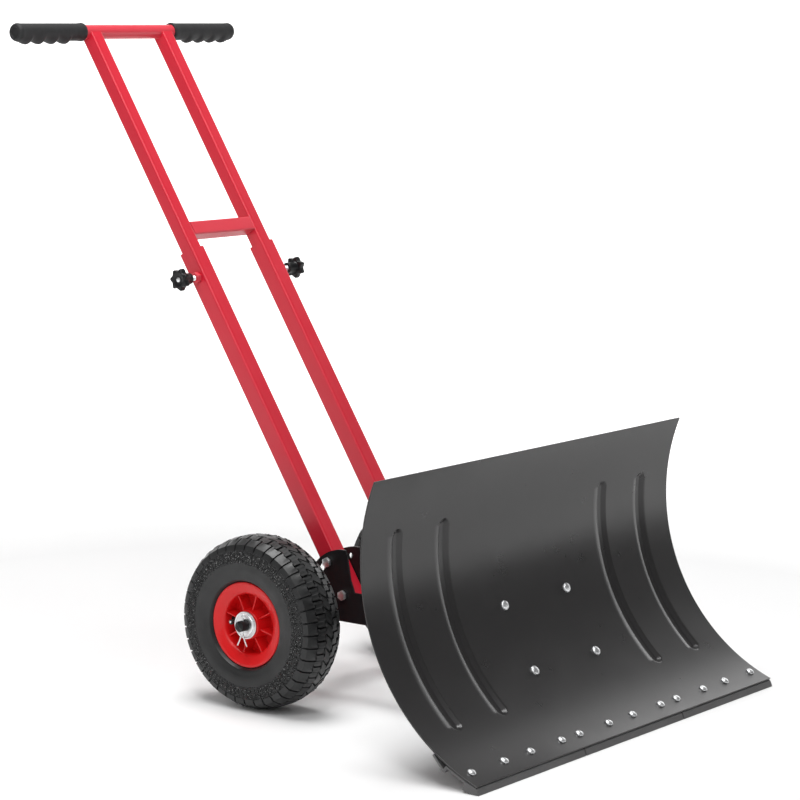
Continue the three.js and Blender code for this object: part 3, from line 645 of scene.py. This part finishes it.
def add_upper_tubes():
    for side, suffix in SIDES:
        end = CROSSBAR_AT - CROSSBAR_RADIUS * 0.55
        frames = straight_frames(side * TUBE_X, UPPER_START, end)
        tube = square_tube(UPPER_SIDE, UPPER_WALL, UPPER_CORNER, frames)
        stand_for(f"upper_tube_{suffix}", [tube], "handle_upper", "red_tube")


def add_crossbar():
    inner = CROSSBAR_RADIUS - 0.002
    profile = [(inner, -CROSSBAR_HALF), (CROSSBAR_RADIUS, -CROSSBAR_HALF), (CROSSBAR_RADIUS, CROSSBAR_HALF),
               (inner, CROSSBAR_HALF)]
    bar = revolve(profile, X_AXIS, on_handle(0, CROSSBAR_AT), 56, loop=True)
    stand_for("crossbar", [bar], "handle_upper", "red_tube")


def add_brace():
    half = TUBE_X - UPPER_SIDE / 2 - GAP
    centre = on_handle(0, BRACE_AT)
    frames = [(centre + X_AXIS * x, ACROSS, ALONG) for x in (-half, half)]
    tube = square_tube(BRACE_SIDE, UPPER_WALL, UPPER_CORNER, frames)
    stand_for("brace", [tube], "handle_upper", "red_tube")


def grip_rings(side):
    """Rings along the grip, swelling under each finger, with a rounded and dished outer end."""
    centre = on_handle(0, CROSSBAR_AT)
    under = Vector((0, 0.10, -1.0)).normalized()
    behind = X_AXIS.cross(under)
    bore = CROSSBAR_RADIUS + GAP
    outline = [(0.0, bore), (0.0, 0.0132), (0.0007, 0.0139), (0.0020, 0.0142), (0.0060, 0.0138)]
    low, high, steps, dish_radius = 0.012, 0.1330, 120, 0.0125
    for i in range(steps + 1):
        outline.append((low + (high - low) * i / steps, GRIP_RADIUS))
    outline += [(0.1345, 0.0135), (0.1370, 0.0138), (0.1395, 0.0138), (0.1415, 0.0132), (0.1432, 0.0121),
                (0.1442, 0.0107), (0.1445, 0.0096), (0.1443, 0.0088), (0.1430, 0.0080), (0.1420, 0.0074),
                (0.1418, 0.0040), (0.1418, 0.00001)]
    segments = 48
    rings = []
    for along, radius in outline:
        ring = []
        for k in range(segments):
            turn = 2 * math.pi * k / segments
            facing = max(0.0, math.cos(turn)) ** 1.3
            swell = GRIP_SWELL * facing * finger_swell(along) if radius > dish_radius else 0.0
            out = under * math.cos(turn) + behind * math.sin(turn)
            ring.append(centre + X_AXIS * side * (GRIP_START + along) + out * (radius + swell))
        rings.append(ring)
    return rings


def finger_swell(along):
    """Saw-toothed swells, one for each finger: a quick rise and a slow fall."""
    place = (along - FIRST_FINGER) / FINGER_PITCH
    if place < 0 or place > FINGERS:
        return 0.0
    part = place % 1.0
    level = part / FINGER_RISE if part < FINGER_RISE else (1.0 - part) / (1.0 - FINGER_RISE)
    return 0.5 - 0.5 * math.cos(math.pi * level)


def add_grips():
    for side, suffix in SIDES:
        stand_for(f"grip_{suffix}", [loft(grip_rings(side))], "handle_upper", "grip_rubber", 50.0)


KNOB_RADIUS = 0.0170
KNOB_LOBES = 7
# Places across, from the object's middle: where the neck and the head start, and where the stud ends.
KNOB_NECK, KNOB_BACK = 0.114, 0.1305
STUD_END, STUD_TIP = 0.1362, 0.1390
# The knob's head, as (distance from its back, share of the radius, depth between the lobes).
KNOB_OUTLINE = (
    (0.0, 0.55, 0.0), (0.0, 0.90, 0.0030), (0.0006, 0.98, 0.0036), (0.0015, 1.0, 0.0038),
    (0.0080, 1.0, 0.0038), (0.0091, 0.97, 0.0036), (0.0100, 0.88, 0.0030), (0.0100, 0.62, 0.0),
    (0.0091, 0.56, 0.0), (0.0087, 0.30, 0.0), (0.0087, 0.01, 0.0),
)


def lobed_ring(x, scale, depth):
    """A ring with lobes, about the knob's axis."""
    ring = []
    steps = 16 * KNOB_LOBES
    for i in range(steps):
        turn = 2 * math.pi * i / steps
        wave = 0.5 - 0.5 * math.cos(KNOB_LOBES * turn)
        radius = (KNOB_RADIUS - depth * wave ** 0.8) * scale
        ring.append(Vector((x, KNOB.y + radius * math.cos(turn), KNOB.z + radius * math.sin(turn))))
    return ring


def add_knobs():
    for side, suffix in SIDES:
        rings = [lobed_ring(side * (KNOB_BACK + x), scale, depth) for x, scale, depth in KNOB_OUTLINE]
        body = f"knob_{suffix}_screw"
        out = X_AXIS * side
        neck_profile = [(0, 0), (0.0076, 0), (0.0085, 0.0008), (0.0085, 0.0135), (0.0105, 0.0167),
                        (0, 0.0167)]
        neck = revolve(neck_profile, out, Vector((side * KNOB_NECK, KNOB.y, KNOB.z)), 36)
        stand_for(f"knob_{suffix}", [loft(rings), neck], body, "knob_plastic", 38.0)
        tip = Vector((side * (TUBE_X + UPPER_SIDE / 2 + GAP), KNOB.y, KNOB.z))
        stud = threaded_rod(tip, out, STUD_END - abs(tip.x), 0.004)
        end_profile = [(0, 0), (0.0030, 0), (0.0036, 0.0003), (0.0034, 0.0011), (0.0015, 0.0016), (0, 0.0016)]
        end = revolve(end_profile, out, Vector((side * STUD_TIP, KNOB.y, KNOB.z)), 24)
        stand_for(f"knob_stud_{suffix}", [stud, end], body, "zinc_fastener", 40.0)


def threaded_rod(start, direction, length, radius, pitch=0.00125):
    """A rod with a ring of thread at every pitch."""
    profile = [(0, 0), (radius - 0.0008, 0)]
    turns = int(length / pitch)
    for i in range(turns):
        profile.append((radius - 0.0006, (i + 0.25) * pitch))
        profile.append((radius, (i + 0.75) * pitch))
    profile += [(radius - 0.0005, length), (0, length)]
    return revolve(profile, direction, start, 20)


# ------------------------------------------------------------------ wheels


TREAD_PITCHES = 40
TREAD_GROOVE = 0.0046
ROW_EDGES = (0.0075, 0.0220)
ROW_GAP = 0.0013
LUG_CUT = 0.075
CUT_SLOPE = 0.035
OUTER_CUT = 0.55
ZIGZAG = 0.0013
FLANK_CUT, FLANK_LUG, FLANK_DROP = 0.0022, 0.0010, 0.0030
PEBBLE_RISE, PEBBLE_UNEVEN, PEBBLE_TURN = 0.0011, 0.0004, 0.0030

# Half of the tyre's outer section as (distance from the middle, radius): the smooth sidewall from the
# bead outward, then the pebbled band, then the flanks of the shoulder lugs.
SIDEWALL = (
    (0.0306, 0.0526), (0.0312, 0.0575), (0.0320, 0.0622), (0.0338, 0.0637), (0.0364, 0.0646),
    (0.0385, 0.0662), (0.0393, 0.0684), (0.0396, 0.0708), (0.0405, 0.0745), (0.0414, 0.0790),
    (0.0419, 0.0840), (0.0419, 0.0885), (0.0420, 0.0900),
)
PEBBLE_ROWS = 10
PEBBLE_RADII = tuple(0.0912 + 0.00185 * i for i in range(PEBBLE_ROWS))
BAND_OUT, BAND_LEAN = 0.0420, 0.0036
LUG_FLANK = ((0.0386, 0.1090), (0.0377, 0.1120), (0.0366, 0.1148), (0.0353, 0.1170))
INSIDE = (
    (0.0255, 0.0526), (0.031, 0.068), (0.0366, 0.092), (0.029, 0.112), (0.014, 0.1195),
)


def crown_radius(across):
    """The tread's outer radius at a distance from the tyre's middle."""
    return TYRE_RADIUS - 0.0098 * (abs(across) / 0.0357) ** 2.6


def tread_stations():
    """Turn fractions within one pitch: the edges of the cuts at its start and its middle."""
    near, far = LUG_CUT / 2, LUG_CUT / 2 + CUT_SLOPE
    return (0.0, near, far, 0.20, 0.30, 0.5 - far, 0.5 - near, 0.5 + near, 0.5 + far, 0.70, 0.80,
            1 - far, 1 - near)


def in_cut(fraction, row):
    """Whether a place in the pitch lies in a cut across this row; rows alternate."""
    middle = 0.5 if row % 2 else 0.0
    away = abs(fraction - middle)
    return min(away, 1 - away) <= LUG_CUT / 2 + 1e-6


def tyre_half():
    """(across, radius, kind, row) from the bead to the tyre's middle."""
    rows = [(a, r, "side", 0) for a, r in SIDEWALL]
    for i, radius in enumerate(PEBBLE_RADII):
        rows.append((BAND_OUT - BAND_LEAN * (i / (PEBBLE_ROWS - 1)) ** 1.6, radius, "pebble", i))
    rows += [(a, r, "flank", i) for i, (a, r) in enumerate(LUG_FLANK)]
    rows += [(across, crown_radius(across), "lug", 0) for across in (0.0334, 0.0300)]
    for row, edge in enumerate(reversed(ROW_EDGES)):
        rows.append((edge + ROW_GAP, crown_radius(edge), "lug", row))
        rows.append((edge + ROW_GAP * 0.6, crown_radius(edge) - TREAD_GROOVE, "groove", row))
        rows.append((edge - ROW_GAP * 0.6, crown_radius(edge) - TREAD_GROOVE, "groove", row))
        rows.append((edge - ROW_GAP, crown_radius(edge), "lug", row + 1))
    return rows


def add_tyre(side, suffix):
    half = tyre_half()
    other = [(-a, r, kind, row) for a, r, kind, row in reversed(half)]
    inside = [(-a, r, "side", 0) for a, r in INSIDE] + [(a, r, "side", 0) for a, r in reversed(INSIDE)]
    rows = half + other + inside
    fractions = tread_stations()
    middle = AXLE + X_AXIS * side * WHEEL_X
    random = np.random.default_rng(11)
    rings = []
    for across, radius, kind, row in rows:
        way = 1 if across > 0 else -1
        pebbles = random.uniform(-1.0, 1.0, TREAD_PITCHES * len(fractions))
        ring = []
        for pitch in range(TREAD_PITCHES):
            for step, fraction in enumerate(fractions):
                turn = 2 * math.pi * (pitch + fraction + 0.5 * (way < 0)) / TREAD_PITCHES
                place, level = across, radius
                if kind == "pebble" and 0 < row < PEBBLE_ROWS - 1:
                    column = pitch * len(fractions) + step
                    raised = (column + row) % 2 == 0
                    place += way * (PEBBLE_RISE + PEBBLE_UNEVEN * pebbles[column] if raised else 0.0)
                    turn += PEBBLE_TURN * pebbles[-1 - column]
                elif kind == "flank":
                    cut = in_cut(fraction, 0)
                    outward = row / (len(LUG_FLANK) - 1)
                    place += way * (-FLANK_CUT if cut else FLANK_LUG) * (0.35 + 0.65 * outward)
                    level -= FLANK_DROP * outward if cut else 0.0
                elif kind == "lug":
                    if in_cut(fraction, row):
                        level -= TREAD_GROOVE * (1.0 if row else OUTER_CUT)
                if kind in ("lug", "groove") and abs(across) < 0.030:
                    zigzag = 0.25 < (fraction + 0.25 * row) % 1.0 < 0.75
                    place += ZIGZAG if zigzag else -ZIGZAG
                ring.append(middle + Vector((side * place, level * math.cos(turn), level * math.sin(turn))))
        rings.append(ring)
    tyre = loft(rings, loop=True)
    stand_for(f"tyre_{suffix}", [tyre], f"wheel_{suffix}", "tyre_rubber", 30.0)


RIB_COUNT = 8
RIB_START = 15.3
# The rib's height above the wheel's middle plane, as (distance from the axle, height).
RIB_TOP = ((0.0205, 0.0272), (0.0300, 0.0262), (0.0380, 0.0258), (0.0446, 0.0262))
RIB_FOOT = 0.0050
# The rim turned about the axle, as (radius, distance toward its outer side).
RIM_PROFILE = (
    (0.0146, 0.0328), (0.0200, 0.0328), (0.0210, 0.0318), (0.0216, 0.0240), (0.0232, 0.0085),
    (0.0250, 0.0064), (0.0405, 0.0070), (0.0424, 0.0090), (0.0432, 0.0160), (0.0437, 0.0235),
    (0.0443, 0.0268), (0.0455, 0.0288), (0.0480, 0.0304), (0.0530, 0.0324), (0.0578, 0.0341),
    (0.0604, 0.0347), (0.0619, 0.0344), (0.0626, 0.0334), (0.0622, 0.0327), (0.0606, 0.0324),
    (0.0530, 0.0310), (0.0520, 0.0300), (0.0520, -0.0300), (0.0530, -0.0310), (0.0606, -0.0324),
    (0.0622, -0.0327), (0.0626, -0.0334), (0.0619, -0.0344), (0.0604, -0.0347), (0.0578, -0.0341),
    (0.0500, -0.0290), (0.0468, -0.0262), (0.0445, -0.0200), (0.0425, 0.0020), (0.0240, 0.0005),
    (0.0214, -0.0380), (0.0205, -0.0398), (0.0146, -0.0398),
)


def rib_part(side, turn, middle):
    """One rib across the dish, thinner at its open edge and lower toward the rim."""
    out = Vector((0, math.cos(turn), math.sin(turn)))
    flank = Vector((0, -math.sin(turn), math.cos(turn)))
    vertices = []
    for radius, top in RIB_TOP:
        for depth, half in ((RIB_FOOT, 0.0016), (top - 0.0005, 0.0011), (top, 0.0007)):
            for way in (-1, 1):
                point = middle + out * radius + X_AXIS * side * depth + flank * way * half
                vertices.append(point)
    faces = []
    for section in range(3):
        low = section * 6
        high = low + 6
        loop = (0, 2, 4, 5, 3, 1)
        for i in range(6):
            j = (i + 1) % 6
            faces.append((low + loop[i], low + loop[j], high + loop[j], high + loop[i]))
    faces.append((0, 2, 4, 5, 3, 1))
    faces.append(tuple(18 + i for i in (1, 3, 5, 4, 2, 0)))
    return vertices, faces


def add_rim(side, suffix):
    middle = AXLE + X_AXIS * side * WHEEL_X
    body = revolve(RIM_PROFILE, X_AXIS * side, middle, 96, loop=True)
    ribs = [rib_part(side, math.radians(RIB_START + 360 * i / RIB_COUNT), middle) for i in range(RIB_COUNT)]
    stand_for(f"rim_{suffix}", [body] + ribs, f"wheel_{suffix}", "red_rim", 35.0)


def add_hub(side, suffix):
    out = X_AXIS * side
    wheel = f"wheel_{suffix}"
    refine(f"hub_bush_{suffix}", wheel, "bush_plastic", 0.0004)
    refine(f"inner_tube_{suffix}", wheel, "tube_rubber", 0.0, angle=50.0)
    tip = AXLE + Vector((side * VALVE_AT, VALVE_OUT, 0))
    cap_profile = [(0, 0), (0.0036, 0), (0.0038, 0.0004), (0.0038, 0.0052), (0.0030, 0.0062), (0, 0.0062)]
    cap = revolve(cap_profile, out, tip, 24)
    add_piece(f"valve_cap_{suffix}", [cap], wheel, "tube_rubber", (), 35.0)
    core_profile = [(0, 0.0058), (0.0017, 0.0058), (0.0017, 0.0066), (0.0013, 0.0070), (0, 0.0070)]
    core = revolve(core_profile, out, tip, 20)
    add_piece(f"valve_core_{suffix}", [core], wheel, "zinc_fastener", (), 35.0)
    washer = [(0.0083, 0), (0.0196, 0), (0.0200, 0.0003), (0.0200, 0.0017), (0.0196, 0.0020),
              (0.0182, 0.0020), (0.0176, 0.0016), (0.0172, 0.0006), (0.0150, 0.0006), (0.0146, 0.0016),
              (0.0140, 0.0020), (0.0110, 0.0020), (0.0086, 0.0018)]
    piece = revolve(washer, out, AXLE + out * WASHER_AT, 64, loop=True)
    stand_for(f"axle_washer_{suffix}", [piece], "chassis", "zinc_fastener", 40.0)


def add_axle():
    half = AXLE_HALF
    profile = [(0, -half), (0.0062, -half), (0.0076, -half + 0.0008), (0.008, -half + 0.002),
               (0.008, half - 0.002), (0.0076, half - 0.0008), (0.0062, half), (0, half)]
    rod = revolve(profile, X_AXIS, AXLE, 48)
    stand_for("axle_rod", [rod], "chassis", "black_steel", 40.0)
    refine("axle_spacer_tube", "chassis", "black_steel", 0.0006)
    for _, suffix in SIDES:
        refine(f"wheel_spacer_{suffix}", "chassis", "black_steel", 0.0006)


def add_cotter_pin(side, suffix):
    """Split pin: an eye above the axle and two half-round legs that part below it."""
    def at(y, z):
        return AXLE + Vector((side * PIN_AT, y, z))

    parts = []
    eye_at, eye_radius = 0.0142, 0.0036
    eye = []
    for i in range(25):
        turn = math.radians(-30 + 300 * i / 24)
        eye.append(at(eye_radius * math.sin(turn), eye_at - eye_radius * math.cos(turn)))
    parts.append(sweep(eye, 0.00125))
    apart, bend, spread_out, leg_length = 0.0007, -0.0090, 0.0082, 0.0205
    for way in (-1, 1):
        leg = [at(way * apart, z) for z in (0.0112, 0.006, 0, -0.006, bend)]
        for t in range(1, 11):
            part = t / 10
            leg.append(at(way * (apart + spread_out * part ** 1.35), bend - leg_length * part))
        parts.append(sweep(leg, 0.0011))
    stand_for(f"cotter_pin_{suffix}", parts, "chassis", "zinc_fastener", 50.0)


def add_wheels():
    for side, suffix in SIDES:
        add_tyre(side, suffix)
        add_rim(side, suffix)
        add_hub(side, suffix)
        add_cotter_pin(side, suffix)


# ------------------------------------------------------------------ studio


# The floor's own light, and the distances from the object over which it rises.
STAGE_GLOW = (0.0, 1.05)
GLOW_FROM, GLOW_FULL = 1.15, 3.3


def add_stage():
    """A pale floor that curves up into a backdrop far behind."""
    half, near, far, rise, curve, steps = 9.0, -6.0, 7.0, 5.0, 2.5, 12
    rows = [(near, 0.0), (far - curve, 0.0)]
    for i in range(1, steps + 1):
        turn = math.radians(90 * i / steps)
        rows.append((far - curve + curve * math.sin(turn), curve - curve * math.cos(turn)))
    rows.append((far, rise))
    toward = Vector((0.795, 0.593, 0)).normalized()
    sideways = Vector((toward.y, -toward.x, 0))
    vertices = []
    for distance, height in rows:
        for way in (-1, 1):
            vertices.append(toward * distance + sideways * way * half + Z_AXIS * (height - 0.0002))
    faces = [(2 * i, 2 * i + 1, 2 * i + 3, 2 * i + 2) for i in range(len(rows) - 1)]
    mesh = bpy.data.meshes.new("studio_floor")
    mesh.from_pydata([tuple(v) for v in vertices], [], faces)
    mesh.shade_smooth()
    paper = surface("studio_paper", (0.88, 0.88, 0.88), 0.9, vary=0.004, patch=2.0, grain=60.0,
                    relief=0.0, rough_vary=0.02)
    tree = paper.node_tree
    shader = tree.nodes["Principled BSDF"]
    shader.inputs["Emission Color"].default_value = (1, 1, 1, 1)
    place = tree.nodes.new("ShaderNodeTexCoord")
    distance = tree.nodes.new("ShaderNodeVectorMath")
    distance.operation = "LENGTH"
    tree.links.new(place.outputs["Object"], distance.inputs[0])
    glow = spread(tree, distance.outputs["Value"], *STAGE_GLOW, GLOW_FROM, GLOW_FULL)
    tree.links.new(glow, shader.inputs["Emission Strength"])
    mesh.materials.append(paper)
    floor = bpy.data.objects.new("studio_floor", mesh)
    bpy.context.scene.collection.objects.link(floor)


def add_area(name, place, target, size, power):
    light = bpy.data.lights.new(name, "AREA")
    light.shape = "RECTANGLE"
    light.size, light.size_y = size
    light.energy = power
    lamp = bpy.data.objects.new(name, light)
    lamp.location = place
    lamp.rotation_euler = (Vector(target) - Vector(place)).to_track_quat("-Z", "Y").to_euler()
    bpy.context.scene.collection.objects.link(lamp)


def add_lights():
    """Low room light, a softbox overhead, one far right that the blade's foot mirrors, a left fill, and a
    smaller one high on the left that throws the shadows to the right."""
    world = bpy.data.worlds.new("studio_world")
    world.use_nodes = True
    background = world.node_tree.nodes["Background"]
    background.inputs["Color"].default_value = (1, 1, 1, 1)
    background.inputs["Strength"].default_value = 0.15
    bpy.context.scene.world = world
    add_area("overhead_light", (-0.25, 0.1, 3.4), (-0.05, 0.0, 0), (1.8, 1.8), 94)
    add_area("right_light", (2.7, 0.2, 1.3), (0.1, -0.4, 0.25), (1.2, 2.3), 7)
    add_area("left_light", (-3.1, -1.2, 1.9), (0, 0, 0.35), (2.0, 2.0), 21)
    add_area("front_light", (-1.7, -1.1, 2.8), (0, 0.0, 0.3), (0.8, 0.8), 26)


def add_camera():
    """Looks from the front left, from a little above, as the object is usually pictured."""
    azimuth, elevation, roll = math.radians(-52.972), math.radians(8.008), math.radians(0.457)
    back = Vector((math.sin(azimuth) * math.cos(elevation), -math.cos(azimuth) * math.cos(elevation),
                   math.sin(elevation)))
    target = AXLE + Vector((-0.10229, -0.17793, 0.33006))
    distance = 4.0046
    data = bpy.data.cameras.new("camera")
    data.sensor_width = 36.0
    data.lens = 126.56
    data.clip_end = 60.0
    camera = bpy.data.objects.new("camera", data)
    place = target + back * distance
    right = Vector((math.cos(azimuth), math.sin(azimuth), 0))
    up = back.cross(right)
    tilted_right = right * math.cos(roll) + up * math.sin(roll)
    tilted_up = up * math.cos(roll) - right * math.sin(roll)
    axes = Matrix((tilted_right, tilted_up, back)).transposed().to_4x4()
    camera.matrix_world = Matrix.Translation(place) @ axes
    bpy.context.scene.collection.objects.link(camera)
    bpy.context.scene.camera = camera


add_camera()
add_lights()
add_stage()
add_blade()
add_wear_strips()
add_blade_bolts()
add_arms()
add_arm_bolts()
add_lower_tubes()
add_upper_tubes()
add_crossbar()
add_brace()
add_grips()
add_knobs()
add_axle()
add_wheels()

bpy.context.scene.view_settings.view_transform = "Standard"
